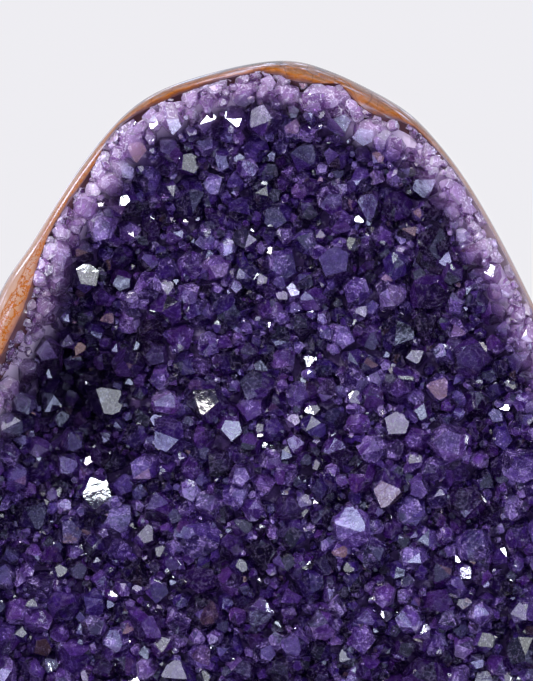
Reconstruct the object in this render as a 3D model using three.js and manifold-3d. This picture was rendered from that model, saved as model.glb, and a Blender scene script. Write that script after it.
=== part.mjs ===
// Amethyst geode, a free-standing cut-base specimen. A thick agate shell has a rounded, polished rim
// and a flat sawn base, and its hollow front is lined with one crust of amethyst crystals.
// Millimetres, +Z up, crystals facing -Y, origin at the bottom centre.
import * as THREE from "three";
import { mergeVertices } from "three/addons/utils/BufferGeometryUtils.js";
import Module from "manifold-3d";

const wasm = await Module();
wasm.setup();

// Driving dimensions: the outline as seen from the front, then the depths behind it
const HEIGHT = 200;
const MIDDLE_HEIGHT = 92;
const BASE_RIGHT = 80;
const BASE_LEFT = -83;
const RIGHT_FOOT = [88, 9];
const LEFT_FOOT = [-92, 9];
const ARCH = [
  [91.5, 35], [92, 68], [85.5, 101], [71, 135], [57, 161.5], [46, 177], [35, 187.5], [15, 197.5], [2, HEIGHT],
  [-20, 195.5], [-37, 188], [-52, 171.5], [-67, 148], [-75, 136], [-88.5, 101], [-95, 68], [-94.5, 35],
];
const DEPTH = 84;
const LEAN = Math.tan(THREE.MathUtils.degToRad(6));

// The polished rim: a quarter ellipse between the front and the widest outline
const RIM_WIDTH = 16;
const RIM_DEPTH = 15;

// Agate shown on the rim, between the widest outline and the crystals, as [share, width]: shares of the way
// round the outline from the right foot over the top. It is a thin line on the right, and lobes elsewhere.
const AGATE_WIDTHS = [
  [0, 3], [0.08, 1.5], [0.28, 1.5], [0.306, 2.4], [0.327, 6.8], [0.343, 2.6], [0.36, 6.8], [0.38, 2.8],
  [0.425, 3.5], [0.448, 1.4], [0.47, 3.6], [0.498, 3], [0.532, 8.8], [0.6, 5.5], [0.72, 4], [1, 3],
];

// The hollow: how far the crystals' roots lie behind the front, and the quartz under them
const EDGE_STEP = 1.2;
const WALL_START = 4;
const WALL_RUN = 20;
const RECESS = 13;
const RECESS_LEFT = 6;
const MOUND = { x: 14, z: 78, radius: 44, rise: 5 };
const PIT = { x: -54, z: 112, radius: 13, fall: 9 };
const BED = 11;
const GAP = 0.5;

// The back of the shell: a quarter of a dome over the base, with broad and small lumps
const BACK_POWER = 2.5;
const BACK_STEPS = [0.14, 0.28, 0.42, 0.56, 0.7, 0.82, 0.91, 0.97];
const REAR_HEIGHT = 20;
const LUMP = 0.028;
const BROAD_LUMP = 15;
const SMALL_LUMP = 11;

// Crystals: points with flat faces that meet their neighbours in sharp valleys, the largest placed first
const SEED = 11;
const CRYSTAL_SIZES = [
  { radius: [4.8, 6.2], tries: 300, spacing: 1 },
  { radius: [3.4, 4.6], tries: 3000, spacing: 0.86 },
  { radius: [2.4, 3.2], tries: 9000, spacing: 0.86 },
];
const TIP_HEIGHT = [0.95, 1.35];
const TIP_OFFSET = 0.45;
const NEIGHBOURHOOD = 32;
const MARGIN = 14;

// How finely the solids are cut into faces
const RING_POINTS = 108;
const FIELD_SHARES = [0.08, 0.2, 0.4, 0.65, 0.85];
const RIM_SHARES = [1, 0.62, 0.3, 0.1, 0];
const SHORT_EDGE = 0.05;

const CENTRE = new THREE.Vector2(0, MIDDLE_HEIGHT);

// The outline, seen from the front, as evenly spaced points
const outlineShape = new THREE.Shape()
  .moveTo(BASE_RIGHT, 0)
  .quadraticCurveTo(RIGHT_FOOT[0], 0, ...RIGHT_FOOT)
  .splineThru([...ARCH, LEFT_FOOT].map(([x, z]) => new THREE.Vector2(x, z)))
  .quadraticCurveTo(LEFT_FOOT[0], 0, BASE_LEFT, 0)
  .lineTo(BASE_RIGHT, 0);
const outline = outlineShape.getSpacedPoints(RING_POINTS).slice(0, RING_POINTS);

const inwards = outline.map((_, i) => {
  const before = outline.at(i - 1);
  const after = outline[(i + 1) % RING_POINTS];
  return new THREE.Vector2(before.y - after.y, after.x - before.x).normalize();
});

// The agate's width at each point of the outline, rounded between the widths that are given
function agateWidth(way) {
  const next = AGATE_WIDTHS.findIndex(([share]) => share > way);
  const [start, before] = AGATE_WIDTHS[next - 1];
  const [end, after] = AGATE_WIDTHS[next];
  return THREE.MathUtils.lerp(before, after, THREE.MathUtils.smoothstep(way, start, end));
}

const agate = outline.map((_, i) => agateWidth(i / RING_POINTS));

const inset = (distance) => outline.map((p, i) => p.clone().addScaledVector(inwards[i], distance(i)));
const towardsCentre = (ring, share) => ring.map((p) => p.clone().lerp(CENTRE, share));

// Distance from a point of the front view to the outline
function edgeDistance(x, z) {
  let nearest = Infinity;
  for (let i = 0; i < RING_POINTS; i++) {
    const a = outline[i];
    const b = outline[(i + 1) % RING_POINTS];
    const [dx, dz] = [b.x - a.x, b.y - a.y];
    const along = THREE.MathUtils.clamp(((x - a.x) * dx + (z - a.y) * dz) / (dx * dx + dz * dz), 0, 1);
    nearest = Math.min(nearest, Math.hypot(x - a.x - along * dx, z - a.y - along * dz));
  }
  return nearest;
}

// Depth of the polished front: round at the edge, flat inside the rim
function polished(x, z) {
  const from = Math.max(0, 1 - edgeDistance(x, z) / RIM_WIDTH);
  return RIM_DEPTH * (1 - Math.sqrt(1 - from * from));
}

const bump = (x, z, { x: cx, z: cz, radius }) => Math.exp(-((x - cx) ** 2 + (z - cz) ** 2) / radius ** 2);

// How far inside the rim a point lies, from 0 at the agate to 1 on the floor of the hollow
const inside = (x, z, from) => THREE.MathUtils.smoothstep(edgeDistance(x, z) - WALL_START, from, WALL_RUN);

// Depth of a smooth dish: a step at the rim, a wall, then a floor that is deepest on the left
function dish(x, z) {
  return polished(x, z) + EDGE_STEP + inside(x, z, 0) * (RECESS - (RECESS_LEFT * x) / BASE_RIGHT);
}

// Depth of the surface that the crystals stand on: the dish with a mound and a pit
function field(x, z) {
  return dish(x, z) + inside(x, z, 0) * (PIT.fall * bump(x, z, PIT) - MOUND.rise * bump(x, z, MOUND));
}

// Depth of the shell's hollow, with the quartz bed between it and the crystals
const hollow = (x, z) => dish(x, z) + BED * inside(x, z, -WALL_RUN);

// A ring of the front view laid on a surface of a given depth, and the same for the centre
const laidOn = (ring, depth) => ring.map(({ x, y: z }) => new THREE.Vector3(x, depth(x, z), z));
const centreOn = (depth) => laidOn([CENTRE], depth)[0];

// One closed solid through rings that run from a front centre outwards, and back in to a rear centre. A patch
// between two rings is split along its shorter diagonal.
function loft(front, rings, rear) {
  const points = [front, ...rings.flat(), rear];
  const faces = [];
  const at = (ring, i) => 1 + ring * RING_POINTS + (i % RING_POINTS);
  const apart = (a, b) => points[a].distanceTo(points[b]);
  for (let i = 0; i < RING_POINTS; i++) {
    faces.push(0, at(0, i), at(0, i + 1));
    for (let ring = 1; ring < rings.length; ring++) {
      const [a, b, c, d] = [at(ring - 1, i), at(ring, i), at(ring, i + 1), at(ring - 1, i + 1)];
      faces.push(...(apart(a, c) < apart(b, d) ? [a, b, c, a, c, d] : [a, b, d, b, c, d]));
    }
    faces.push(at(rings.length - 1, i), points.length - 1, at(rings.length - 1, i + 1));
  }
  return new THREE.BufferGeometry().setFromPoints(points).setIndex(faces);
}

// The shell: hollow, rim, sides and lumpy back
function lump(x, y, z) {
  const broad = Math.sin((x + y) / BROAD_LUMP) * Math.sin((z - y) / BROAD_LUMP + 1);
  const small = Math.sin((x - z + y) / SMALL_LUMP);
  return LUMP * (broad + small / 2);
}

function backRing(step) {
  const depth = RIM_DEPTH + (DEPTH - RIM_DEPTH) * step;
  const size = (1 - step ** BACK_POWER) ** (1 / BACK_POWER);
  const behindRim = THREE.MathUtils.smoothstep(step, 0, BACK_STEPS[2]);
  return outline.map(({ x, y: z }) => {
    const rough = size * (1 + behindRim * lump(x * size, depth, z * size));
    return new THREE.Vector3(x * rough, depth, z * rough);
  });
}

const agateEdge = inset((i) => agate[i]);
const hollowRings = FIELD_SHARES.map((share) => laidOn(towardsCentre(agateEdge, share), hollow));

function shellGeometry() {
  const rimRings = RIM_SHARES.map((share) => laidOn(inset((i) => share * agate[i]), polished));
  const backRings = BACK_STEPS.map(backRing);
  const rear = new THREE.Vector3(0, DEPTH, REAR_HEIGHT);
  return loft(centreOn(hollow), [...hollowRings.toReversed(), ...rimRings, ...backRings], rear);
}

// Solids for cutting and joining
function solidOf(geometry) {
  const bare = geometry.clone();
  bare.deleteAttribute("normal");
  bare.deleteAttribute("uv");
  const merged = mergeVertices(bare);
  const vertProperties = merged.attributes.position.array;
  const triVerts = new Uint32Array(merged.index.array);
  return new wasm.Manifold(new wasm.Mesh({ numProp: 3, vertProperties, triVerts }));
}

function geometryOf(solid) {
  const { vertProperties, triVerts } = solid.getMesh();
  return new THREE.BufferGeometry()
    .setAttribute("position", new THREE.BufferAttribute(vertProperties, 3))
    .setIndex(new THREE.BufferAttribute(triVerts, 1));
}

// The room for the crust: a gap inside the hollow, and cut flush with the polished rim in front
function clearOf({ x, y, z }) {
  const inward = new THREE.Vector3(CENTRE.x - x, 0, CENTRE.y - z).setLength(GAP);
  return new THREE.Vector3(x, y - GAP, z).add(inward);
}

function crustRoom() {
  const edge = inset((i) => agate[i] + GAP);
  const frontShares = [...FIELD_SHARES.toReversed(), 0];
  const frontRings = frontShares.map((share) => laidOn(towardsCentre(edge, share), polished));
  const backRings = hollowRings.map((ring) => ring.map(clearOf));
  return solidOf(loft(centreOn(polished), [...frontRings, ...backRings], clearOf(centreOn(hollow))));
}

// Where crystals stand: random places over the whole front and a little past it, kept apart by their sizes
const random = () => THREE.MathUtils.seededRandom();
const between = ([low, high]) => low + (high - low) * random();
const FIELD_LOW = new THREE.Vector2(ARCH.at(-2)[0] - MARGIN, -MARGIN);
const FIELD_HIGH = new THREE.Vector2(ARCH[1][0] + MARGIN, HEIGHT + MARGIN);

function crystalPlaces() {
  const places = [];
  for (const { radius, tries, spacing } of CRYSTAL_SIZES) {
    for (let i = 0; i < tries; i++) {
      const x = between([FIELD_LOW.x, FIELD_HIGH.x]);
      const z = between([FIELD_LOW.y, FIELD_HIGH.y]);
      const size = between(radius);
      const apart = (other) => Math.hypot(other.x - x, other.z - z) > spacing * (other.size + size);
      if (places.every(apart)) places.push({ x, z, size });
    }
  }
  return places;
}

// The part of a polygon that lies on the near side of the line a.x + b.z = c
function clip(polygon, a, b, c) {
  const over = polygon.map(({ x, y: z }) => a * x + b * z - c);
  return polygon.flatMap((p, i) => {
    const next = (i + 1) % polygon.length;
    const kept = over[i] <= 0 ? [p] : [];
    if (over[i] * over[next] >= 0) return kept;
    return [...kept, p.clone().lerp(polygon[next], over[i] / (over[i] - over[next]))];
  });
}

// The ground that one crystal covers, shared out with its neighbours by their sizes: a power diagram's cell
const weight = ({ x, z, size }) => x ** 2 + z ** 2 - size ** 2;

function crystalGround(place, places) {
  const corners = [FIELD_LOW, new THREE.Vector2(FIELD_HIGH.x, FIELD_LOW.y), FIELD_HIGH];
  const start = [...corners, new THREE.Vector2(FIELD_LOW.x, FIELD_HIGH.y)];
  return places.reduce((ground, other) => {
    const [dx, dz] = [other.x - place.x, other.z - place.z];
    if (other === place || Math.hypot(dx, dz) > NEIGHBOURHOOD) return ground;
    return clip(ground, dx, dz, (weight(other) - weight(place)) / 2);
  }, start);
}

// A block whose front is all crystals: each is a point over its own ground, with a tip that leans off centre
function crystalBlock() {
  const places = crystalPlaces();
  const points = [];
  const rear = DEPTH / 2;
  for (const place of places) {
    const ground = crystalGround(place, places);
    const { x, z, size } = place;
    const lean = TIP_OFFSET * size * Math.sqrt(random());
    const turn = between([0, 2 * Math.PI]);
    const tip = new THREE.Vector3(
      x + lean * Math.cos(turn),
      field(x, z) - size * between(TIP_HEIGHT),
      z + lean * Math.sin(turn),
    );
    const floor = new THREE.Vector3(x, rear, z);
    ground.forEach((corner, i) => {
      const [a, b] = laidOn([corner, ground[(i + 1) % ground.length]], field);
      const [c, d] = [a.clone().setY(rear), b.clone().setY(rear)];
      points.push(tip, a, b, floor, d, c);
      if (onBorder(a, b)) points.push(a, c, d, a, d, b);
    });
  }
  return solidOf(new THREE.BufferGeometry().setFromPoints(points));
}

function onBorder(a, b) {
  const shared = (p, q, low, high) => p === q && (p === low || p === high);
  return shared(a.x, b.x, FIELD_LOW.x, FIELD_HIGH.x) || shared(a.z, b.z, FIELD_LOW.y, FIELD_HIGH.y);
}

// The crust: crystals cut to the room for them. Only the main body is kept, with no loose chips.
function crustGeometry() {
  THREE.MathUtils.seededRandom(SEED);
  const grown = crystalBlock().intersect(crustRoom()).simplify(SHORT_EDGE);
  return geometryOf(grown.decompose().reduce((a, b) => (a.volume() > b.volume() ? a : b)));
}

// The scene graph. The lean is a shear, so that the sawn base stays flat.
const leanBack = new THREE.Matrix4().makeShear(0, 0, 0, 0, 0, LEAN);

function node(name, geometry, material) {
  const mesh = new THREE.Mesh(geometry.applyMatrix4(leanBack), new THREE.MeshStandardMaterial(material));
  mesh.name = name;
  return mesh;
}

const geode = new THREE.Group();
geode.add(
  node("agate_shell", shellGeometry(), { color: 0x9a7a64, roughness: 0.55, metalness: 0 }),
  node("amethyst_crust", crustGeometry(), { color: 0x4a2f86, roughness: 0.08, metalness: 0 }),
);

const box = new THREE.Box3().setFromObject(geode);
const middle = box.getCenter(new THREE.Vector3());
geode.position.set(-middle.x, -middle.y, -box.min.z);

export default geode;
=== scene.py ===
# %% [markdown]
# # An amethyst geode
# This lesson dresses a free-standing amethyst geode. The real thing is a shell of banded agate, sawn flat
# underneath and polished round its rim, whose hollow front is lined with violet quartz points. The shell
# and the crust of crystals come as two plain solids at their true size. Blender adds what the eye looks
# for: the polished bands of the agate, the rough rind behind, a milky quartz bed, and clear violet points
# on it.

# %% Load the solids
import math

import bpy
import numpy as np
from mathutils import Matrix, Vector


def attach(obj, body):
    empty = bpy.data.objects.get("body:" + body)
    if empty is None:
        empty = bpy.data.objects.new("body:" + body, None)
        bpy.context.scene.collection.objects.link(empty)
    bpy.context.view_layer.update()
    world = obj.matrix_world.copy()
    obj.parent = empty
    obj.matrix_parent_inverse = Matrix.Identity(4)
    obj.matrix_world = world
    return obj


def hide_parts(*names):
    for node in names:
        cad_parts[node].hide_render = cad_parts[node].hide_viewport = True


MM = 0.001
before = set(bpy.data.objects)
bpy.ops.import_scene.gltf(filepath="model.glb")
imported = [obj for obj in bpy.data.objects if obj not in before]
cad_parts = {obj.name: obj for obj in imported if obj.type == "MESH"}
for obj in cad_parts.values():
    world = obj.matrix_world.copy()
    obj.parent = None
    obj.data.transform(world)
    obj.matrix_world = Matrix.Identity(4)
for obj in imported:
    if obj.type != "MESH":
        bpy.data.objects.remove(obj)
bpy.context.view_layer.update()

# %% [markdown]
# ## Camera
# The picture looks straight at the crystals from a little above, and cuts off the sides and the foot. A
# long lens from three quarters of a metre keeps the outline almost free of perspective. The lens follows
# from how many millimetres of the geode fill the height of the picture.

# %% Camera
VIEW_HEIGHT = 187.3 * MM
VIEW_CENTRE = Vector((-0.1 * MM, -18 * MM, 122.8 * MM))
CAMERA_DISTANCE = 0.75
CAMERA_ELEVATION = math.radians(4)
SENSOR = 36
NEAREST = 0.01

back_and_up = Vector((0, -math.cos(CAMERA_ELEVATION), math.sin(CAMERA_ELEVATION)))
bpy.ops.object.camera_add(location=VIEW_CENTRE + CAMERA_DISTANCE * back_and_up)
camera = bpy.context.object
camera.rotation_euler = (-back_and_up).to_track_quat("-Z", "Y").to_euler()
camera.data.sensor_width = SENSOR
camera.data.lens = SENSOR * CAMERA_DISTANCE / VIEW_HEIGHT
camera.data.clip_start = NEAREST
bpy.context.scene.camera = camera
print("lens:", round(camera.data.lens, 1), "mm")

# %% [markdown]
# ## Floor
# The geode stands on a plain pale floor. A large disc is enough. It stays out of mirror faces and clear
# crystal, which would otherwise show it as dull flat grey.

# %% Floor
FLOOR_RADIUS = 1.8
FLOOR_SIDES = 96
FLOOR_ROUGHNESS = 0.6
PALE = (0.855, 0.847, 0.887, 1)

bpy.ops.object.select_all(action="DESELECT")
bpy.ops.mesh.primitive_circle_add(vertices=FLOOR_SIDES, radius=FLOOR_RADIUS, fill_type="NGON")
floor = bpy.context.object
floor.name = "floor"
floor.visible_glossy = False
floor.visible_transmission = False
floor_paint = bpy.data.materials.new("pale_floor")
floor_paint.use_nodes = True
floor_shader = floor_paint.node_tree.nodes["Principled BSDF"]
floor_shader.inputs["Base Color"].default_value = PALE
floor_shader.inputs["Roughness"].default_value = FLOOR_ROUGHNESS
floor.data.materials.append(floor_paint)
print("floor radius:", FLOOR_RADIUS, "m")

# %% [markdown]
# ## Room
# Crystal faces are small mirrors, and each shows what lies in its own direction. In an even room they
# would all look alike. So noise in the World gives it dark and bright patches, which only mirror faces
# and clear crystal see. The camera, and the floor and stone that scatter light, get one even pale colour.
# Behind the geode the room is bright, which draws a pale line along the polished edge.

# %% Room
ROOM_BEHIND = 0.8
BEHIND_RANGE = (0.6, 0.95)
PATCH_SCALE = 6
PATCH_DETAIL = 3
PATCHES = (
    (0.28, (1.9, 1.2, 1.25)),
    (0.34, (0.8, 0.42, 0.46)),
    (0.38, (0.03, 0.03, 0.04)),
    (0.48, (0.04, 0.045, 0.06)),
    (0.53, (1.1, 1.2, 2.1)),
    (0.57, (0.09, 0.10, 0.15)),
    (0.61, (0.22, 0.27, 0.4)),
    (0.65, (5, 5.6, 8.5)),
    (0.70, (8, 9, 12)),
)
DIFFUSE_DIM = 0.2

world = bpy.data.worlds.new("pale_room")
bpy.context.scene.world = world
world.use_nodes = True
nodes = world.node_tree.nodes
direction = nodes.new("ShaderNodeTexCoord")
patches = nodes.new("ShaderNodeTexNoise")
patches.inputs["Scale"].default_value = PATCH_SCALE
patches.inputs["Detail"].default_value = PATCH_DETAIL
greys = nodes.new("ShaderNodeValToRGB")
for place, colour in PATCHES:
    stop = greys.color_ramp.elements.new(place)
    stop.color = (*colour, 1)
greys.color_ramp.elements.remove(greys.color_ramp.elements[0])
greys.color_ramp.elements.remove(greys.color_ramp.elements[-1])
split = nodes.new("ShaderNodeSeparateXYZ")
behind = nodes.new("ShaderNodeMapRange")
behind.inputs["From Min"].default_value = BEHIND_RANGE[0]
behind.inputs["From Max"].default_value = BEHIND_RANGE[1]
behind.inputs["To Max"].default_value = ROOM_BEHIND
light_path = nodes.new("ShaderNodeLightPath")
even = nodes.new("ShaderNodeMath")
even.operation = "MAXIMUM"
share = nodes.new("ShaderNodeMath")
share.operation = "MAXIMUM"
backdrop = nodes.new("ShaderNodeMix")
backdrop.data_type = "RGBA"
backdrop.inputs[7].default_value = PALE
dimmed = nodes.new("ShaderNodeMapRange")
dimmed.inputs["To Min"].default_value = 1
dimmed.inputs["To Max"].default_value = DIFFUSE_DIM
for source, target in (
    (direction.outputs["Generated"], patches.inputs["Vector"]),
    (patches.outputs["Fac"], greys.inputs["Fac"]),
    (direction.outputs["Generated"], split.inputs["Vector"]),
    (split.outputs["Y"], behind.inputs["Value"]),
    (behind.outputs["Result"], share.inputs[0]),
    (light_path.outputs["Is Camera Ray"], even.inputs[0]),
    (light_path.outputs["Is Diffuse Ray"], even.inputs[1]),
    (even.outputs["Value"], share.inputs[1]),
    (share.outputs["Value"], backdrop.inputs[0]),
    (greys.outputs["Color"], backdrop.inputs[6]),
    (backdrop.outputs[2], nodes["Background"].inputs["Color"]),
    (light_path.outputs["Is Diffuse Ray"], dimmed.inputs["Value"]),
    (dimmed.outputs["Result"], nodes["Background"].inputs["Strength"]),
):
    world.node_tree.links.new(source, target)
bpy.context.scene.view_settings.view_transform = "Standard"
print("tones in the room:", len(PATCHES))

# %% [markdown]
# ## Lights
# Such a piece is photographed under large soft lights. Area lights turned towards the geode do the same.
# The small sparks, and a warm card low on the right, are kept from lighting up stone: they show only in
# mirror faces, where they flash white or warm.

# %% Soft boxes
LIGHT_AIM = Vector((0, 0, 110 * MM))


def soft_box(name, place, size, radiance, colour=(1, 1, 1), lights_up=True):
    """A square area light that looks at the geode. Its power follows from how bright its face is."""
    data = bpy.data.lights.new(name, "AREA")
    data.size = size
    data.energy = radiance * math.pi * size * size
    data.color = colour
    box = bpy.data.objects.new(name, data)
    box.location = place
    box.rotation_euler = (LIGHT_AIM - box.location).to_track_quat("-Z", "Y").to_euler()
    box.visible_camera = False
    box.visible_diffuse = lights_up
    bpy.context.collection.objects.link(box)
    print(name, "power", round(data.energy, 2))


COOL = (0.9, 0.95, 1)
SOFT_BOXES = (
    {"name": "key", "place": (-0.55, -0.75, 0.95), "size": 0.26, "radiance": 40, "colour": (1, 0.98, 0.96)},
    {"name": "sky", "place": (0.3, -0.7, 1.2), "size": 0.55, "radiance": 5, "colour": (0.93, 0.97, 1)},
    {"name": "left_card", "place": (-1.2, -0.45, 0.35), "size": 0.4, "radiance": 4.5, "colour": COOL},
    {"name": "right_card", "place": (1.1, -0.65, 0.45), "size": 0.4, "radiance": 4.5, "colour": COOL},
    {"name": "warm_card", "place": (0.5, -1.0, 0.03), "size": 0.3, "radiance": 3, "colour": (1, 0.6, 0.5),
     "lights_up": False},
)
for box in SOFT_BOXES:
    soft_box(**box)

# %% Sparks
SPARKS = 20
SPARK_DISTANCE = 1.25
SPARK_SIZE = 0.1
SPARK_RADIANCE = 110
SPARK_COLOUR = (0.86, 0.93, 1)
SPARK_SPREAD = math.radians(78)
SPARK_LOWEST = -0.08
GOLDEN_TURN = math.radians(137.5)
for number in range(SPARKS):
    spread = SPARK_SPREAD * math.sqrt((number + 0.5) / SPARKS)
    turn = GOLDEN_TURN * number
    sideways, upwards = math.sin(spread) * math.cos(turn), math.sin(spread) * math.sin(turn)
    towards = Vector((sideways, -math.cos(spread), upwards))
    if towards.z > SPARK_LOWEST:
        place = LIGHT_AIM + SPARK_DISTANCE * towards
        soft_box(f"spark_{number}", place, SPARK_SIZE, SPARK_RADIANCE, SPARK_COLOUR, False)

# %% [markdown]
# ## The form of the hollow
# Everything on the front follows the geode's outline. The shell has a ring of points at its widest, and
# their distance behind the front tells where the front lies. From the outline come the rounded, polished
# rim, and the dish behind it on which the crystals stand: a wall, a floor that is deepest on the left, a
# mound and a pit.

# %% Outline
LEAN = math.tan(math.radians(6))
RIM_WIDTH = 16 * MM
RIM_DEPTH = 15 * MM
WELD = 0.005 * MM


def points_of(mesh):
    """The vertices of a mesh as an array of x, y and z."""
    flat = np.empty(3 * len(mesh.vertices))
    mesh.vertices.foreach_get("co", flat)
    return flat.reshape(-1, 3)


def move_points(mesh, points):
    """Puts the vertices of a mesh where an array says."""
    mesh.vertices.foreach_set("co", np.ascontiguousarray(points, dtype=np.float32).ravel())
    mesh.update()


shell_points = np.unique(np.round(points_of(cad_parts["agate_shell"].data), 7), axis=0)
upright = shell_points[:, 1] - LEAN * shell_points[:, 2]
depths, ring_sizes = np.unique(np.round(upright, 5), return_counts=True)
widest = depths[ring_sizes == ring_sizes.max()].min()
FRONT = widest - RIM_DEPTH
ring = shell_points[np.abs(upright - widest) < WELD][:, [0, 2]]
lowest, highest = ring.min(axis=0), ring.max(axis=0)
middle = (lowest + highest) / 2
outline = ring[np.argsort(np.arctan2(ring[:, 1] - middle[1], ring[:, 0] - middle[0]))]
print(len(outline), "points in the outline, front at", round(FRONT / MM, 2), "mm")


def to_outline(x, z, values):
    """How far points of the front view lie inside the outline, and the outline's values beside them."""
    here = np.stack([np.ravel(x), np.ravel(z)], axis=1)
    nearest = np.full(len(here), np.inf)
    beside = np.zeros(len(here))
    crossings = np.zeros(len(here), dtype=int)
    for one, start in enumerate(outline):
        two = (one + 1) % len(outline)
        side = outline[two] - start
        along = np.clip((here - start) @ side / (side @ side), 0, 1)
        away = np.linalg.norm(here - start - along[:, None] * side, axis=1)
        beside = np.where(away < nearest, values[one] + along * (values[two] - values[one]), beside)
        nearest = np.minimum(nearest, away)
        if side[1] != 0:
            straddles = (start[1] > here[:, 1]) != (outline[two][1] > here[:, 1])
            crossings += straddles & (here[:, 0] < start[0] + (here[:, 1] - start[1]) * side[0] / side[1])
    return np.where(crossings % 2 == 1, nearest, -nearest), beside


def polished(inset):
    """Depth of the polished rim behind the front, from the distance to the outline."""
    rise = np.clip(1 - inset / RIM_WIDTH, 0, 1)
    return RIM_DEPTH * (1 - np.sqrt(1 - rise * rise))


# %% [markdown]
# The shell also tells how wide its agate is. Its rim is made of straight rows of points that run inwards
# from the outline along the polished surface, and the last point of each row is where the crystals begin.

# %% Width of the agate
ON_ROW = 0.02 * MM
ON_RIM = 0.05 * MM


def row_length(start, inwards, rim):
    """Length of the row of rim points that runs inwards from one point of the outline."""
    away = rim - start
    on_row = np.abs(away @ np.array([inwards[1], -inwards[0]])) < ON_ROW
    near = np.linalg.norm(away, axis=1) < RIM_WIDTH
    return (away @ inwards)[on_row & near].max()


insets, _ = to_outline(shell_points[:, 0], shell_points[:, 2], np.zeros(len(outline)))
on_rim = np.abs(upright - FRONT - polished(insets)) < ON_RIM
tangents = np.roll(outline, -1, axis=0) - np.roll(outline, 1, axis=0)
normals = np.stack([-tangents[:, 1], tangents[:, 0]], axis=1) / np.linalg.norm(tangents, axis=1)[:, None]
agate_widths = np.array([row_length(*row, shell_points[on_rim][:, [0, 2]]) for row in zip(outline, normals)])
print("agate from", round(agate_widths.min() / MM, 1), "to", round(agate_widths.max() / MM, 1), "mm wide")

# %% [markdown]
# How deep the crystals' ground lies follows from the same distances: a small step below the polish at the
# agate, down a smooth wall, then a floor with a mound and a pit. Working it out in a function keeps all
# later pieces on one surface.

# %% Depths of the hollow
EDGE_STEP = 1.2 * MM
WALL_START = 4 * MM
WALL_RUN = 20 * MM
RECESS = 13 * MM
RECESS_LEFT = 6 * MM
HALF_WIDTH = 80 * MM
MOUND = {"x": 15 * MM, "z": 78 * MM, "radius": 44 * MM, "rise": 5 * MM}
PIT = {"x": -53 * MM, "z": 112 * MM, "radius": 13 * MM, "fall": 9 * MM}


def smooth_step(value, low, high):
    """Rises smoothly from 0 at low to 1 at high."""
    share = np.clip((value - low) / (high - low), 0, 1)
    return share * share * (3 - 2 * share)


def edge_distance(x, z):
    """How far points lie inside the outline."""
    return to_outline(x, z, agate_widths)[0]


def past_agate(x, z):
    """How far points lie inside the inner edge of the agate."""
    inset, width = to_outline(x, z, agate_widths)
    return inset - width


def inward(x, z):
    """Directions across the front view, from the outline towards the middle."""
    step = 0.5 * MM
    slope_x = edge_distance(x + step, z) - edge_distance(x - step, z)
    slope_z = edge_distance(x, z + step) - edge_distance(x, z - step)
    across = np.stack([slope_x, np.zeros(len(x)), slope_z], axis=1)
    return across / np.maximum(np.linalg.norm(across, axis=1), 1e-9)[:, None]


def bump(x, z, place):
    """A round hill of height 1 at a place."""
    return np.exp(-((x - place["x"]) ** 2 + (z - place["z"]) ** 2) / place["radius"] ** 2)


def field(x, z):
    """Depth behind the front of the ground that the crystals stand on."""
    inset = edge_distance(x, z)
    floor_share = smooth_step(inset - WALL_START, 0, WALL_RUN)
    floor_depth = RECESS - RECESS_LEFT * x / HALF_WIDTH
    relief = PIT["fall"] * bump(x, z, PIT) - MOUND["rise"] * bump(x, z, MOUND)
    return polished(inset) + EDGE_STEP + floor_share * (floor_depth + relief)


def place_on_front(x, z, depth):
    """Points of the front view at a depth behind the leaning front."""
    return np.stack([x, FRONT + LEAN * z + depth, z], axis=-1)


print("ground at the middle:", round(field(*middle)[0] / MM, 1), "mm behind the front")

# %% [markdown]
# ## Agate shell
# The real shell is hard, fine agate. Its rim was ground round and polished to a gloss, its back kept the
# rough skin of the rock that it grew in, and its foot was sawn flat. It could be sculpted, but the solid
# already has the right form with few faces. So a copy of it is welded, its sharp edges are creased, and
# Subdivision Surface rounds the rest.

# %% Helpers for shaping
CLOUD_DEPTH = 4


def pick(piece):
    """Makes a piece the only one selected, and active."""
    bpy.ops.object.select_all(action="DESELECT")
    piece.select_set(True)
    bpy.context.view_layer.objects.active = piece


def apply_modifier(piece, kind, **settings):
    """Adds a modifier with these settings and applies it."""
    pick(piece)
    modifier = piece.modifiers.new(kind.title(), kind)
    for name, value in settings.items():
        setattr(modifier, name, value)
    bpy.ops.object.modifier_apply(modifier=modifier.name)


def set_attribute(piece, name, values):
    """Stores one number a vertex, which a material can read."""
    stored = piece.data.attributes.get(name) or piece.data.attributes.new(name, "FLOAT", "POINT")
    stored.data.foreach_set("value", np.asarray(values, dtype=np.float32))


def rock_texture(name, size):
    """Cloudy noise for a Displace modifier."""
    texture = bpy.data.textures.new(name, "CLOUDS")
    texture.noise_scale = size
    texture.noise_depth = CLOUD_DEPTH
    return texture


# %% Smooth the shell
SHELL_LEVELS = 2
SHARP_EDGE = math.radians(42)

agate = bpy.data.objects.new("banded_agate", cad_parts["agate_shell"].data.copy())
bpy.context.collection.objects.link(agate)
pick(agate)
bpy.ops.mesh.customdata_custom_splitnormals_clear()
bpy.ops.object.mode_set(mode="EDIT")
bpy.ops.mesh.select_all(action="SELECT")
bpy.ops.mesh.remove_doubles(threshold=WELD)
bpy.ops.mesh.tris_convert_to_quads(face_threshold=math.pi, shape_threshold=math.pi)
bpy.ops.mesh.select_all(action="DESELECT")
bpy.ops.mesh.select_mode(type="EDGE")
bpy.ops.mesh.edges_select_sharp(sharpness=SHARP_EDGE)
bpy.ops.transform.edge_crease(value=1)
bpy.ops.object.mode_set(mode="OBJECT")
sharp = sum(edge.select for edge in agate.data.edges)
print("edges kept sharp:", sharp)
apply_modifier(agate, "SUBSURF", levels=SHELL_LEVELS, render_levels=SHELL_LEVELS)

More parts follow.
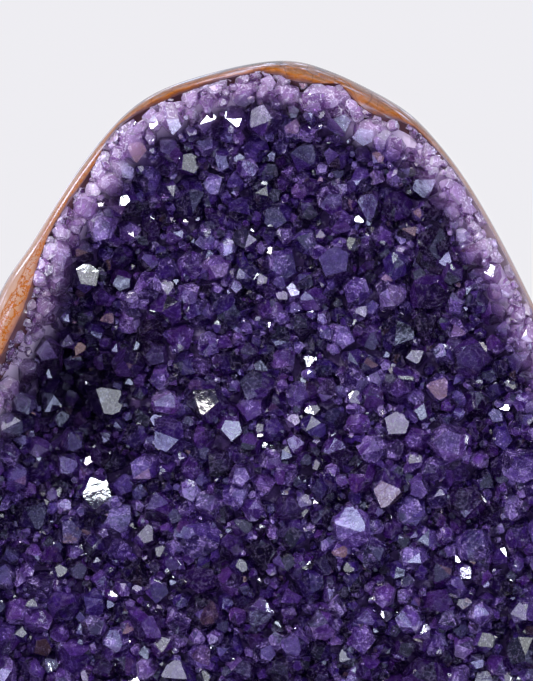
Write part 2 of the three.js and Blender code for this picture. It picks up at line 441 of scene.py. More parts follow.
# %% [markdown]
# The rind behind the rim is rough rock. First the back is drawn in a little, so that seen from the front
# the polished rim stays the outline. Then two Displace modifiers, one broad and one fine, roughen it. A
# vertex group fades them out at the polish and at the sawn base.

# %% Roughen the back
TUCK = 0.12
RIND_RUN = (1 * MM, 12 * MM)
BASE_RUN = (1 * MM, 6 * MM)
MOSTLY_INWARDS = 0.9
ROUGHNESS = (
    {"name": "broad", "size": 14 * MM, "strength": 2.2 * MM},
    {"name": "fine", "size": 3.5 * MM, "strength": 0.8 * MM},
)

points = points_of(agate.data)
set_back = points[:, 1] - LEAN * points[:, 2] - widest
short_of = np.clip(TUCK * set_back - edge_distance(points[:, 0], points[:, 2]), 0, None) * (set_back > 0)
move_points(agate.data, points + short_of[:, None] * inward(points[:, 0], points[:, 2]))
roughness = smooth_step(set_back, *RIND_RUN) * smooth_step(points[:, 2], *BASE_RUN)
rind = agate.vertex_groups.new(name="rind")
for vertex, weight in enumerate(roughness):
    rind.add([vertex], float(weight), "REPLACE")
for layer in ROUGHNESS:
    texture = rock_texture(layer["name"], layer["size"])
    apply_modifier(agate, "DISPLACE", texture=texture, texture_coords="LOCAL", strength=layer["strength"],
                   vertex_group="rind", mid_level=MOSTLY_INWARDS)
print("rough points:", int((roughness > 0).sum()), "of", len(roughness))

# %% Numbers for the bands
WIDTH_UNIT = 10 * MM
MOST_ACROSS = 2

pick(agate)
bpy.ops.object.shade_smooth_by_angle(angle=SHARP_EDGE)
points = points_of(agate.data)
inset, width = to_outline(points[:, 0], points[:, 2], agate_widths)
set_attribute(agate, "across", np.clip(inset / width, 0, MOST_ACROSS))
set_attribute(agate, "width", width / WIDTH_UNIT)
set_attribute(agate, "skin", roughness)
print("shell faces:", len(agate.data.polygons))

# %% [markdown]
# ## One quartz point
# Quartz grows as a six-sided prism that ends in six slanting faces, three large and three small, each at
# the same steep angle. A six-sided cylinder is the start. Cutting it with six slanting planes gives the
# tip, and moving three of the planes out gives the uneven faces. A dozen such points, all a little
# different, are enough.

# %% Model the points
POINT_KINDS = 12
POINT_LENGTH = 3.4
TIP_SLOPE = math.radians(51.8)
LARGE_FACE_OUT = (0, 0.16)
SMALL_FACE_OUT = (0.1, 0.55)
WALL_OUT = (0.7, 0.87)
SEED = 11
chance = np.random.default_rng(SEED)


def model_point(number):
    """A quartz point of radius 1 along z, with its tip near the origin and its root below."""
    bpy.ops.object.select_all(action="DESELECT")
    bpy.ops.mesh.primitive_cylinder_add(vertices=6, radius=1, depth=2 * POINT_LENGTH, end_fill_type="NGON")
    point = bpy.context.object
    point.name = f"point_{number}"
    bpy.ops.object.mode_set(mode="EDIT")
    for side in range(6):
        turn = math.radians(60 * side + 30)
        flat = Vector((math.cos(turn), math.sin(turn), 0))
        slant = math.sin(TIP_SLOPE) * flat + math.cos(TIP_SLOPE) * Vector((0, 0, 1))
        out = chance.uniform(*LARGE_FACE_OUT) if side % 2 else chance.uniform(*SMALL_FACE_OUT)
        bpy.ops.mesh.select_all(action="SELECT")
        bpy.ops.mesh.bisect(plane_co=out * slant, plane_no=slant, use_fill=True, clear_outer=True)
        bpy.ops.mesh.select_all(action="SELECT")
        wall = chance.uniform(*WALL_OUT) * flat
        bpy.ops.mesh.bisect(plane_co=wall, plane_no=flat, use_fill=True, clear_outer=True)
    bpy.ops.object.mode_set(mode="OBJECT")
    faces = [tuple(face.vertices) for face in point.data.polygons]
    corners = points_of(point.data)
    bpy.data.objects.remove(point)
    return corners, faces


point_kinds = [model_point(number) for number in range(POINT_KINDS)]
print("faces of the points:", [len(faces) for corners, faces in point_kinds])

# %% [markdown]
# ## Where the points stand
# Crystals compete for room: a few grow large, and smaller ones fill what is left. Throwing random places,
# the largest sizes first, and keeping those that are far enough from the others gives the same crowd.
# Each point faces the front with a random tilt. Those near the rim are smaller and shorter, lean towards
# the middle, and end below the polish.

# %% Places
SIZES = (
    {"radius": (5.2, 6.6), "tries": 150, "spacing": 1.02},
    {"radius": (3.5, 5.1), "tries": 6000, "spacing": 0.71},
    {"radius": (2.0, 3.2), "tries": 8000, "spacing": 0.58},
    {"radius": (1.0, 1.7), "tries": 10000, "spacing": 0.56},
)
RIM_RADIUS = 2.7 * MM
RIM_GROWTH = 0.28
EDGE_MARGIN = -0.4 * MM


def throw_places():
    """Random places inside the agate as rows of x, z and radius, kept apart by their sizes."""
    kept = np.empty((0, 3))
    for size in SIZES:
        count = size["tries"]
        thrown = np.column_stack([
            chance.uniform(lowest[0], highest[0], count),
            chance.uniform(lowest[1], highest[1], count),
            chance.uniform(*size["radius"], count) * MM,
        ])
        past = past_agate(thrown[:, 0], thrown[:, 1])
        fits = (past > EDGE_MARGIN) & (thrown[:, 2] < RIM_RADIUS + RIM_GROWTH * past)
        for place in thrown[fits]:
            away = np.hypot(kept[:, 0] - place[0], kept[:, 1] - place[1])
            if np.all(away > size["spacing"] * (kept[:, 2] + place[2])):
                kept = np.vstack([kept, place])
    return kept


places = throw_places()
x, z, radius = places.T
print("points of each size or larger:", [int((radius > size["radius"][0] * MM).sum()) for size in SIZES])

# %% Tilts and tips
TIP_RISE = (0.6, 1.4)
MOST_TILT = math.radians(44)
RIM_LEAN = 0.7
RIM_LEAN_RUN = 15 * MM
RIM_STEM = 1.7
BELOW_POLISH = (0.1 * MM, 1.0 * MM)

on_wall = 1 - smooth_step(past_agate(x, z), 0, RIM_LEAN_RUN)
axes = np.array([0, -1, 0]) + RIM_LEAN * on_wall[:, None] * inward(x, z)
axes /= np.linalg.norm(axes, axis=1)[:, None]
sideways = np.cross(axes, chance.normal(size=axes.shape))
sideways /= np.linalg.norm(sideways, axis=1)[:, None]
tilts = MOST_TILT * np.sqrt(chance.random(len(x)))[:, None]
axes = np.cos(tilts) * axes + np.sin(tilts) * sideways
tips = place_on_front(x, z, field(x, z)) + axes * (radius * chance.uniform(*TIP_RISE, len(x)))[:, None]
under_polish = polished(edge_distance(tips[:, 0], tips[:, 2])) + chance.uniform(*BELOW_POLISH, len(x))
tips[:, 1] = np.maximum(tips[:, 1], place_on_front(tips[:, 0], tips[:, 2], under_polish)[:, 1])
stems = POINT_LENGTH + (RIM_STEM - POINT_LENGTH) * on_wall
spins = chance.uniform(0, 2 * math.pi, len(x))
kinds = chance.integers(POINT_KINDS, size=len(x))
tints = chance.random(len(x))
print(len(places), "points, tilted by up to", round(math.degrees(MOST_TILT)), "degrees")

# %% [markdown]
# ## Growing together
# Crystals that overlap have grown into each other, so inside the mass there are no walls. The Boolean
# modifier joins solids and takes their inner walls away. It needs each side to be free of overlaps of its
# own, so the points are first sorted into sets in which none touches another, and the sets are then
# joined one after the other.

# %% Sort into sets and join
REACH = 1.05
AXIS_STEPS = 7
ANY_DIRECTION = (0.3, 0.2, 0.93)


def turned(axis, spin):
    """Three unit directions: two across a point, and its axis."""
    across = np.cross(axis, ANY_DIRECTION)
    across /= np.linalg.norm(across)
    other = np.cross(axis, across)
    return np.stack([
        math.cos(spin) * across + math.sin(spin) * other,
        math.cos(spin) * other - math.sin(spin) * across,
        axis,
    ])


def axis_gap(tip, axis, length, tips, axes, lengths):
    """The least distance between one point's axis and each of several others, by trying places along them."""
    steps = np.linspace(0, 1, AXIS_STEPS)
    mine = tip - np.outer(steps * length, axis)
    theirs = tips[:, None, :] - steps[None, :, None] * (axes * lengths[:, None])[:, None, :]
    return np.linalg.norm(theirs[:, :, None, :] - mine[None, None], axis=3).min(axis=(1, 2))


def sort_into_sets(tips, axes, radius):
    """A set number for each point, so that no two points of a set overlap."""
    lengths = stems * radius
    chosen = np.full(len(tips), -1)
    for one in range(len(tips)):
        apart = np.linalg.norm(tips - tips[one], axis=1)
        near = np.flatnonzero(apart < lengths[one] + lengths + radius[one])
        near = near[near < one]
        gaps = axis_gap(tips[one], axes[one], lengths[one], tips[near], axes[near], lengths[near])
        touched = near[gaps < REACH * (radius[one] + radius[near])]
        taken = set(chosen[touched])
        chosen[one] = next(number for number in range(len(tips)) if number not in taken)
    return chosen


def points_object(name, numbers, scale, sink):
    """One mesh of all the numbered points, each scaled about its axis and sunk along it."""
    corners, faces, start = [], [], 0
    for number in numbers:
        shape, sides = point_kinds[kinds[number]]
        size = radius[number] * scale
        shape = np.maximum(shape, (-np.inf, -np.inf, -stems[number]))
        corners.append(tips[number] - sink * radius[number] * axes[number]
                       + size * shape @ turned(axes[number], spins[number]))
        faces.extend([tuple(start + corner for corner in side) for side in sides])
        start += len(shape)
    mesh = bpy.data.meshes.new(name)
    mesh.from_pydata(np.concatenate(corners).tolist(), [], faces)
    counts = [len(point_kinds[kinds[number]][1]) for number in numbers]
    mesh.attributes.new("tint", "FLOAT", "FACE").data.foreach_set("value", np.repeat(tints[numbers], counts))
    mesh.attributes.new("facet", "FLOAT", "FACE").data.foreach_set("value", chance.random(sum(counts)))
    made = bpy.data.objects.new(name, mesh)
    bpy.context.collection.objects.link(made)
    return made


def join_solids(piece, others):
    """Joins other solids into a piece, one after the other, and removes them."""
    for other in others:
        apply_modifier(piece, "BOOLEAN", operation="UNION", solver="MANIFOLD", object=other)
        bpy.data.objects.remove(other)


sets = sort_into_sets(tips, axes, radius)
groups = [points_object(f"set_{number}", np.flatnonzero(sets == number), 1, 0)
          for number in range(sets.max() + 1)]
crystals = groups[0]
crystals.name = "amethyst_points"
join_solids(crystals, groups[1:])
print(len(groups), "sets joined:", len(crystals.data.polygons), "faces")

# %% [markdown]
# ## Quartz bed
# The points stand on a bed of massive quartz, which shows between them. It is dark violet in the depth,
# partly its own tone and partly painted shade between the points, and milky and pale at the rim. A grid
# laid on the ground of the hollow and extruded backwards makes it. Many points are cloudy at the heart, so
# smaller copies of them are joined to the bed and show through the clear violet.

# %% Bed
BED_SPACING = 1.6 * MM
BED_THICKNESS = 7 * MM
BED_SINK = 2.8 * MM
HIDDEN_EDGE = 3.2 * MM
OUTLINE_MARGIN = 0.5 * MM


def slab(name, surface, thickness, spacing):
    """A closed solid whose front follows a surface inside the outline, made from a grid."""
    bpy.ops.object.select_all(action="DESELECT")
    width, height = highest - lowest
    columns, rows = round(width / spacing), round(height / spacing)
    bpy.ops.mesh.primitive_grid_add(x_subdivisions=columns, y_subdivisions=rows, size=1)
    piece = bpy.context.object
    piece.name = name
    grid = points_of(piece.data)
    across = middle[0] + grid[:, 0] * width
    up = middle[1] + grid[:, 1] * height
    move_points(piece.data, place_on_front(across, up, surface(across, up)))
    bpy.ops.object.mode_set(mode="EDIT")
    bpy.ops.mesh.select_all(action="DESELECT")
    bpy.ops.object.mode_set(mode="OBJECT")
    outside = (past_agate(across, up) < -HIDDEN_EDGE) | (edge_distance(across, up) < OUTLINE_MARGIN)
    piece.data.vertices.foreach_set("select", outside)
    bpy.ops.object.mode_set(mode="EDIT")
    bpy.ops.mesh.delete(type="VERT")
    bpy.ops.mesh.select_all(action="SELECT")
    bpy.ops.mesh.delete_loose()
    bpy.ops.mesh.select_all(action="SELECT")
    bpy.ops.mesh.extrude_region_move(TRANSFORM_OT_translate={"value": (0, thickness, 0)})
    bpy.ops.mesh.select_all(action="SELECT")
    bpy.ops.mesh.normals_make_consistent(inside=False)
    bpy.ops.object.mode_set(mode="OBJECT")
    return piece


def bed_depth(x, z):
    """The bed's front, a little behind the crystals' ground."""
    return field(x, z) + BED_SINK


bed = slab("milky_quartz", bed_depth, BED_THICKNESS, BED_SPACING)
print("bed faces:", len(bed.data.polygons))

# %% Cloudy hearts
HEART_SHARE = 0.5
HEART_SCALE = 0.6
HEART_SINK = 0.62

cloudy = np.flatnonzero(chance.random(len(places)) < HEART_SHARE)
hearts = [points_object(f"hearts_{number}", cloudy[sets[cloudy] == number], HEART_SCALE, HEART_SINK)
          for number in np.unique(sets[cloudy])]
join_solids(bed, hearts)
print(len(cloudy), "cloudy hearts, bed faces now:", len(bed.data.polygons))

# %% [markdown]
# ## Flush with the rim
# When the rim was polished, the outermost crystals were ground down with it. A solid that ends at the
# polished surface keeps what lies behind it: the Boolean modifier's intersection takes the rest away.

# %% Grind the outer points
AGATE_DIP = 2.5 * MM
DIP_RUN = 1.2 * MM
GROUND_THICKNESS = 60 * MM
GROUND_SPACING = 1.2 * MM
CUT_FACES = {"tint": 0.5, "facet": 0.7}


def ground_depth(x, z):
    """The polished surface over the crystals, dipping out of sight under the agate."""
    return polished(edge_distance(x, z)) + AGATE_DIP * (1 - smooth_step(past_agate(x, z), -DIP_RUN, 0))


room_for_points = slab("ground_front", ground_depth, GROUND_THICKNESS, GROUND_SPACING)
for name, value in CUT_FACES.items():
    cut_faces = room_for_points.data.attributes.new(name, "FLOAT", "FACE")
    cut_faces.data.foreach_set("value", np.full(len(room_for_points.data.polygons), value))
for piece in (crystals, bed):
    apply_modifier(piece, "BOOLEAN", operation="INTERSECT", solver="MANIFOLD", object=room_for_points)
bpy.data.objects.remove(room_for_points)
pick(crystals)
bpy.ops.object.shade_flat()
print("points after grinding:", len(crystals.data.polygons), "faces")

# %% [markdown]
# ## Pale rim and painted shade in the pit
# Towards the rim the real crystals are pale. In the deepest place on the left they lie in the rim's shadow,
# and the materials paint that shade into their colour: painted shade. The materials could work this out
# from coordinates, but the outline is known here. So each vertex stores two numbers, which the materials
# read as attributes.

# %% Numbers for the crystals' colours
PALE_RUN = (3 * MM, 12 * MM)
SHADY = {"x": -53 * MM, "z": 108 * MM, "radius": 15 * MM}
for piece in (crystals, bed):
    points = points_of(piece.data)
    set_attribute(piece, "pale", 1 - smooth_step(past_agate(points[:, 0], points[:, 2]), *PALE_RUN))
    # Painted shade: this number darkens the crystals and the bed in the deep hollow on the left.
    set_attribute(piece, "pit_shade", bump(points[:, 0], points[:, 2], SHADY))
    print(piece.name, "has", len(points), "points")

# %% [markdown]
# ## Materials
# The three finishes are made of nodes, with no images. They read Object coordinates and the numbers
# stored above, so they stay fixed to the stone. A few helpers add nodes and link them, which keeps the
# recipes short.

# %% Node helpers


def link(tree, source, target):
    """Links two sockets."""
    tree.links.new(source, target)


def start_material(piece, name):
    """A new material on a piece, with its tree and its main shader."""
    material = bpy.data.materials.new(name)
    material.use_nodes = True
    piece.data.materials.clear()
    piece.data.materials.append(material)
    return material.node_tree, material.node_tree.nodes["Principled BSDF"]


def add_node(tree, kind, inputs=(), **settings):
    """A node with settings, and inputs given as numbers or as sockets to link."""
    made = tree.nodes.new("ShaderNode" + kind)
    for name, value in settings.items():
        setattr(made, name, value)
    for name, value in dict(inputs).items():
        if isinstance(value, bpy.types.NodeSocket):
            tree.links.new(value, made.inputs[name])
        else:
            made.inputs[name].default_value = value
    return made


def attribute(tree, name):
    """A stored number of the mesh."""
    return add_node(tree, "Attribute", attribute_name=name).outputs["Fac"]


def noise(tree, scale, detail=4, rough=0.55, shift=None):
    """Noise on Object coordinates, which a shift moves so that it starts afresh on each crystal or facet."""
    place = add_node(tree, "TexCoord").outputs["Object"]
    if shift is not None:
        place = add_node(tree, "VectorMath", {0: place, 1: shift}, operation="ADD").outputs["Vector"]
    settings = {"Vector": place, "Scale": scale, "Detail": detail, "Roughness": rough}
    return add_node(tree, "TexNoise", settings).outputs["Fac"]


def crack_lines(tree, scale, width, shift):
    """Fine lines that part the surface into cells."""
    place = add_node(tree, "TexCoord").outputs["Object"]
    moved = add_node(tree, "VectorMath", {0: place, 1: shift}, operation="ADD").outputs["Vector"]
    cells = add_node(tree, "TexVoronoi", {"Vector": moved, "Scale": scale}, feature="DISTANCE_TO_EDGE")
    return ramp(tree, cells.outputs["Distance"], ((0, (1, 1, 1)), (width, (0, 0, 0))))


def maths(tree, operation, first, second):
    """One step of arithmetic."""
    return add_node(tree, "Math", {0: first, 1: second}, operation=operation).outputs[0]


def ramp(tree, value, stops):
    """A colour ramp with stops given as (place, colour)."""
    made = add_node(tree, "ValToRGB", {"Fac": value})
    elements = made.color_ramp.elements
    while len(elements) < len(stops):
        elements.new(1)
    for element, (place, colour) in zip(elements, stops):
        element.position = place
        element.color = (*colour, 1)
    return made.outputs["Color"]


def mix(tree, share, first, second):
    """Mixes two colours, each a socket or three numbers."""
    made = tree.nodes.new("ShaderNodeMix")
    made.data_type = "RGBA"
    for socket, value in ((made.inputs[0], share), (made.inputs[6], first), (made.inputs[7], second)):
        if isinstance(value, bpy.types.NodeSocket):
            tree.links.new(value, socket)
        else:
            socket.default_value = value if isinstance(value, (int, float)) else (*value, 1)
    return made.outputs[2]


# %% [markdown]
# ## Amethyst
# Amethyst is clear quartz with a violet tint that deepens with thickness, so it is plain transmission
# with quartz's index of refraction and a volume that absorbs. Real crystals differ in tone. Their faces
# differ by how each catches the light, and that is painted: painted facet shade, and on the palest faces
# a painted reflection. Two numbers stored on each face, one for its crystal's tone and one of its own for
# the painted facet shade, choose the tone from a bluish or a reddish ramp.

# %% Tones of the amethyst
# The palest stops of both ramps serve as painted reflection on some faces, chosen at random.
BLUISH = (
    (0.2, (0.006, 0.0025, 0.025)),
    (0.45, (0.019, 0.0064, 0.088)),
    (0.65, (0.055, 0.018, 0.225)),
    (0.82, (0.14, 0.07, 0.38)),
    (0.97, (0.34, 0.34, 0.62)),
)
REDDISH = (
    (0.2, (0.011, 0.0025, 0.025)),
    (0.45, (0.034, 0.0055, 0.092)),
    (0.65, (0.09, 0.0155, 0.22)),
    (0.82, (0.19, 0.055, 0.36)),
    (0.97, (0.42, 0.28, 0.58)),
)
AT_THE_RIM = (
    (0.15, (0.16, 0.055, 0.2)),
    (0.4, (0.45, 0.25, 0.5)),
    (0.65, (0.76, 0.57, 0.77)),
    (0.9, (0.95, 0.88, 0.94)),
)
BLACK = (0, 0, 0)
WHITE = (1, 1, 1)
MOSTLY_PALE = (0.7, 0.7, 0.7)
OF_CRYSTAL = 0.4
OF_FACE = 0.6
HUE_TURNS = 7.3

tree, shader = start_material(crystals, "clear_amethyst")
stretches = ramp(tree, noise(tree, 45, 2), ((0.36, MOSTLY_PALE), (0.56, WHITE)))
pale = maths(tree, "MULTIPLY", attribute(tree, "pale"), stretches)
tint = attribute(tree, "tint")
facet = attribute(tree, "facet")
pit_shade = attribute(tree, "pit_shade")
afresh = maths(tree, "ADD", tint, maths(tree, "MULTIPLY", facet, 0.3))
within = maths(tree, "MULTIPLY", maths(tree, "SUBTRACT", noise(tree, 150, 3, 0.6, afresh), 0.5), 0.5)
of_crystal = maths(tree, "MULTIPLY", tint, OF_CRYSTAL)
# Painted facet shade: the face's own number makes faces darker or paler at random, as light would; the
# crystal's number is its real tone.
crystal_tone_and_facet_shade = maths(tree, "ADD", of_crystal, maths(tree, "MULTIPLY", facet, OF_FACE))
depth = maths(tree, "ADD", crystal_tone_and_facet_shade, within)
hue = maths(tree, "FRACT", maths(tree, "MULTIPLY", tint, HUE_TURNS), 0)
deep = mix(tree, hue, ramp(tree, depth, BLUISH), ramp(tree, depth, REDDISH))
rim_tint = ramp(tree, depth, AT_THE_RIM)
print("tones:", len(BLUISH), "bluish,", len(REDDISH), "reddish,", len(AT_THE_RIM), "at the rim")

# %% [markdown]
# Many crystals hold milky clouds, fine cracks and white specks, above all near the rim. Noise and the
# cell borders of a Voronoi texture draw them. The white specks and crack lines are partly real flaws and
# partly painted glints, the flashes that light gives off inner cracks. They scatter light, so the clear
# quartz is less clear where they are.

# %% Clouds, cracks, and specks with painted glints
MILK_TINT = (0.40, 0.25, 0.70)
# Colours of the white specks and cracks: partly real flaws, partly painted glints.
FLAW_AND_GLINT_DEEP = (0.76, 0.6, 1)
FLAW_AND_GLINT_RIM = (0.97, 0.94, 1)
FLAW_AND_GLINT_LEAST = 0.21
SHADE = (0.01, 0.005, 0.025)
SHADE_SHARE = 0.8

grain = maths(tree, "MULTIPLY", noise(tree, 1500, 4, 0.75, afresh), 0.5)
level = maths(tree, "ADD", maths(tree, "MULTIPLY", tint, 0.3), noise(tree, 230, 5, 0.65, afresh))
# Painted shade: in the pit the milky clouds are held back, so the crystals there stay dark.
lit = maths(tree, "SUBTRACT", maths(tree, "ADD", level, grain), maths(tree, "MULTIPLY", pit_shade, 0.5))
cloud = ramp(tree, maths(tree, "SUBTRACT", lit, 0.5), ((0.46, BLACK), (0.8, WHITE)))
colour = mix(tree, pale, mix(tree, cloud, deep, MILK_TINT), rim_tint)
patchy = ramp(tree, noise(tree, 350, 3, 0.6, afresh), ((0.48, BLACK), (0.58, WHITE)))
lines = maths(tree, "MULTIPLY", crack_lines(tree, 430, 0.1, afresh), patchy)
# Painted glints: these white specks stand partly for light flashing off inner cracks, partly for real white
# inclusions.
specks_and_glints = ramp(tree, noise(tree, 1300, 4, 0.7, afresh), ((0.55, BLACK), (0.63, WHITE)))
flaws_and_glints = maths(tree, "MAXIMUM", lines, specks_and_glints)
flaw_and_glint_share = maths(tree, "MAXIMUM", pale, maths(tree, "ADD", cloud, FLAW_AND_GLINT_LEAST))
flaw_and_glint_mask = maths(tree, "MULTIPLY", flaws_and_glints, flaw_and_glint_share)
# Real flaws and painted glints: pale lavender and white are mixed into the colour where specks and cracks
# fall.
sparkling = mix(tree, flaw_and_glint_mask, colour, mix(tree, pale, FLAW_AND_GLINT_DEEP, FLAW_AND_GLINT_RIM))
# Painted shade: in the deep pit on the left the colour is pulled towards near-black SHADE, in place of the
# rim's shadow.
shaded = mix(tree, maths(tree, "MULTIPLY", pit_shade, SHADE_SHARE), sparkling, SHADE)
link(tree, shaded, shader.inputs["Base Color"])
print("nodes in the amethyst so far:", len(tree.nodes))

# %% Clear quartz
CLEAREST = 0.72
MILKIEST = 0.25
RIM_MILK = 0.3
QUARTZ_IOR = 1.544
FACE_ROUGHNESS = 0.04
WAVE_HEIGHT = 0.022 * MM
VIOLET = (0.56, 0.06, 0.74, 1)
VIOLET_DENSITY = 120

milk = maths(tree, "MAXIMUM", maths(tree, "MAXIMUM", cloud, flaw_and_glint_mask), maths(tree, "MULTIPLY", pale, RIM_MILK))
clear = add_node(tree, "MapRange", {"Value": milk, "To Min": CLEAREST, "To Max": MILKIEST})
link(tree, clear.outputs["Result"], shader.inputs["Transmission Weight"])
shader.inputs["IOR"].default_value = QUARTZ_IOR
shader.inputs["Roughness"].default_value = FACE_ROUGHNESS
growth = noise(tree, 300, 3, 0.5, afresh)
waves = add_node(tree, "Bump", {"Height": growth, "Distance": WAVE_HEIGHT, "Strength": 1})
link(tree, waves.outputs["Normal"], shader.inputs["Normal"])
absorption = add_node(tree, "VolumeAbsorption", {"Color": VIOLET, "Density": VIOLET_DENSITY})
link(tree, absorption.outputs["Volume"], tree.nodes["Material Output"].inputs["Volume"])
print("nodes in the amethyst:", len(tree.nodes))

# %% [markdown]
# ## Milky quartz
# The bed's quartz is full of tiny bubbles and scatters light, so it is opaque and dull. Cloudy noise runs
# from near-black violet to pale in the depth: the darkest tones are partly the quartz's own and partly
# painted shade between the points. The rim pulls it to one pale tone, and the pit pulls it to a painted
# shade.

# %% Milky quartz
# The darkest stops are partly the quartz's own violet and partly painted shade between the points.
BED_TONES = ((0.35, (0.025, 0.01, 0.06)), (0.55, (0.09, 0.045, 0.17)), (0.70, (0.55, 0.46, 0.66)))
BED_AT_RIM = (0.76, 0.62, 0.82)
BED_ROUGHNESS = 0.7
BED_SPECULAR = 0.1

tree, shader = start_material(bed, "milky_violet_quartz")
cloud = ramp(tree, noise(tree, 260, 6, 0.65), BED_TONES)
pale_cloud = mix(tree, attribute(tree, "pale"), cloud, BED_AT_RIM)
# Painted shade: in the pit the bed is pulled towards near-black SHADE.
link(tree, mix(tree, attribute(tree, "pit_shade"), pale_cloud, SHADE), shader.inputs["Base Color"])
shader.inputs["Roughness"].default_value = BED_ROUGHNESS
shader.inputs["Specular IOR Level"].default_value = BED_SPECULAR
print("nodes in the milky quartz:", len(tree.nodes))

# %% [markdown]
# ## Agate
# Agate grew in layers along the wall of the hollow, so its bands follow the rim. The share of the way
# across the rim, stored on the shell, goes through a ramp of layers, and noise makes it sway. Wide
# stretches are tan to plum, thin ones paler.

# %% Bands of the agate
THIN_TO_WIDE = (0.13, 0.2)
WIDE_LAYERS = (
    (0.00, (0.15, 0.125, 0.11)),
    (0.06, (0.33, 0.215, 0.155)),
    (0.2, (0.49, 0.30, 0.21)),
    (0.5, (0.47, 0.27, 0.175)),
    (0.75, (0.42, 0.215, 0.12)),
    (0.88, (0.32, 0.13, 0.07)),
    (1.0, (0.12, 0.05, 0.055)),
)
THIN_LAYERS = (
    (0.0, (0.22, 0.17, 0.15)),
    (0.3, (0.47, 0.29, 0.21)),
    (0.7, (0.40, 0.26, 0.2)),
    (1.0, (0.38, 0.29, 0.33)),
)

tree, shader = start_material(agate, "polished_agate")
widths = {"Value": attribute(tree, "width"), "From Min": THIN_TO_WIDE[0], "From Max": THIN_TO_WIDE[1]}
wide = add_node(tree, "MapRange", widths).outputs[0]
sway = maths(tree, "MULTIPLY", maths(tree, "SUBTRACT", noise(tree, 70, 2), 0.5), 0.55)
flutter = maths(tree, "MULTIPLY", maths(tree, "SUBTRACT", noise(tree, 420, 5, 0.65), 0.5), 0.22)
band = maths(tree, "ADD", attribute(tree, "across"), maths(tree, "ADD", sway, flutter))
wide_stone = ramp(tree, band, WIDE_LAYERS)
thin_stone = ramp(tree, band, THIN_LAYERS)
stone = mix(tree, wide, thin_stone, wide_stone)
print("layers:", len(WIDE_LAYERS), "wide,", len(THIN_LAYERS), "thin")

# %% [markdown]
# Iron coloured the inner layers, in mossy branches and blots of orange and specks of rust. Branches are
# where noise passes through its middle value, blots where it is high. They stay within the inner part of
# the wide bands.

# %% Orange lines, branches and rust
ORANGE = (0.37, 0.095, 0.004)
RUST = (0.19, 0.042, 0.004)
INNER = ((0.4, BLACK), (0.48, WHITE), (0.85, WHITE), (0.95, BLACK))
MOSS_EDGE = ((0.40, BLACK), (0.43, WHITE), (0.46, BLACK))

inner = ramp(tree, band, INNER)
off_ridge = maths(tree, "ABSOLUTE", maths(tree, "SUBTRACT", noise(tree, 380, 4, 0.6), 0.5), 0)
branches = ramp(tree, off_ridge, ((0.026, WHITE), (0.04, BLACK)))
blots = ramp(tree, noise(tree, 520, 4, 0.65), ((0.57, BLACK), (0.6, WHITE)))
outline_of_moss = ramp(tree, band, MOSS_EDGE)
orange = maths(tree, "MULTIPLY", maths(tree, "MAXIMUM", branches, blots), inner)
orange_share = maths(tree, "MULTIPLY", maths(tree, "MAXIMUM", orange, outline_of_moss), wide)
stone = mix(tree, orange_share, stone, ORANGE)
rust = ramp(tree, noise(tree, 900, 5, 0.7), ((0.6, BLACK), (0.65, WHITE)))
rust_share = maths(tree, "MULTIPLY", maths(tree, "MULTIPLY", rust, inner), wide)
stone = mix(tree, rust_share, stone, RUST)
print("nodes in the agate so far:", len(tree.nodes))

# %% [markdown]
# At the crown the agate is darker, with wavy orange and rust lines, a grey outer layer in places and a
# few fine cracks. The same bands, swayed once more, go through a ramp of their own that fades in with
# height.

# %% Darker crown with a grey outer layer
CROWN_SHARE = 0.8
CROWN_RUN = (0.165, 0.186)
CROWN_LAYERS = (
    (0.00, (0.17, 0.145, 0.135)),
    (0.25, (0.3, 0.19, 0.135)),
    (0.38, (0.2, 0.11, 0.07)),
    (0.43, (0.42, 0.13, 0.014)),
    (0.47, (0.2, 0.09, 0.045)),
    (0.6, (0.3, 0.14, 0.06)),
    (0.7, (0.42, 0.125, 0.01)),
    (0.86, (0.17, 0.045, 0.012)),
    (1.0, (0.09, 0.036, 0.04)),
)
GREY = (0.13, 0.122, 0.115)
CRACK = (0.07, 0.03, 0.025)
CRACK_SHARE = 0.55

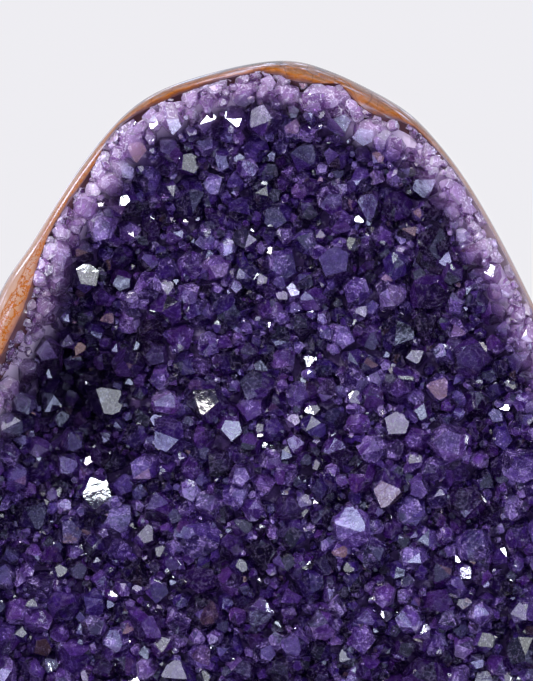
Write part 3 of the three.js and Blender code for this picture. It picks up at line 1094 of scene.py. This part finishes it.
height = add_node(tree, "SeparateXYZ", {0: add_node(tree, "TexCoord").outputs["Object"]}).outputs["Z"]
heights = {"Value": height, "From Min": CROWN_RUN[0], "From Max": CROWN_RUN[1]}
crown = add_node(tree, "MapRange", heights).outputs[0]
lobes = maths(tree, "MULTIPLY", maths(tree, "SUBTRACT", noise(tree, 130, 3, 0.6), 0.5), 0.9)
crown_stone = ramp(tree, maths(tree, "ADD", band, lobes), CROWN_LAYERS)
stone = mix(tree, maths(tree, "MULTIPLY", crown, CROWN_SHARE), stone, crown_stone)
outer = ramp(tree, band, ((0.16, WHITE), (0.4, BLACK)))
patch = ramp(tree, noise(tree, 90, 4), ((0.46, BLACK), (0.52, WHITE)))
greyed = maths(tree, "MULTIPLY", maths(tree, "MULTIPLY", outer, patch), crown)
stone = mix(tree, greyed, stone, GREY)
crack_share = maths(tree, "MULTIPLY", crown, CRACK_SHARE)
cracks = maths(tree, "MULTIPLY", crack_lines(tree, 170, 0.03, (0, 0, 0)), crack_share)
stone = mix(tree, cracks, stone, CRACK)
print("layers of the crown:", len(CROWN_LAYERS))

# %% [markdown]
# ## Rind
# Behind the rim the shell keeps its rock skin, grey-brown, mottled and dull. The same stored number that
# roughened the mesh mixes it with the polished stone, sets the gloss and gives the skin its small pits.

# %% Rind
SKIN_TONES = (
    (0.36, (0.06, 0.05, 0.043)),
    (0.48, (0.17, 0.145, 0.125)),
    (0.56, (0.27, 0.235, 0.2)),
    (0.66, (0.42, 0.39, 0.34)),
)
POLISH = 0.09
DULL = 0.88
PIT_DEPTH = 1.1 * MM

rind_share = attribute(tree, "skin")
mottle = maths(tree, "ADD", maths(tree, "MULTIPLY", noise(tree, 90, 8, 0.7), 0.6),
               maths(tree, "MULTIPLY", noise(tree, 900, 5, 0.7), 0.4))
skin = ramp(tree, mottle, SKIN_TONES)
link(tree, mix(tree, rind_share, stone, skin), shader.inputs["Base Color"])
gloss = add_node(tree, "MapRange", {"Value": rind_share, "To Min": POLISH, "To Max": DULL})
link(tree, gloss.outputs["Result"], shader.inputs["Roughness"])
pits = maths(tree, "MULTIPLY", noise(tree, 650, 7, 0.72), rind_share)
rough_skin = add_node(tree, "Bump", {"Height": pits, "Distance": PIT_DEPTH, "Strength": 1})
link(tree, rough_skin.outputs["Normal"], shader.inputs["Normal"])
print("nodes in the agate:", len(tree.nodes))

# %% [markdown]
# ## Hand over
# Each new piece rides on the geode's one body, and the solid that it stands for is hidden.

# %% Hand the pieces over
for piece, node, slot in (
    (agate, "agate_shell", "agate"),
    (crystals, "amethyst_crust", "amethyst"),
    (bed, "amethyst_crust", "amethyst"),
):
    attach(piece, "root")
    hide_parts(node)
    print(piece.name, len(piece.data.polygons), "faces")
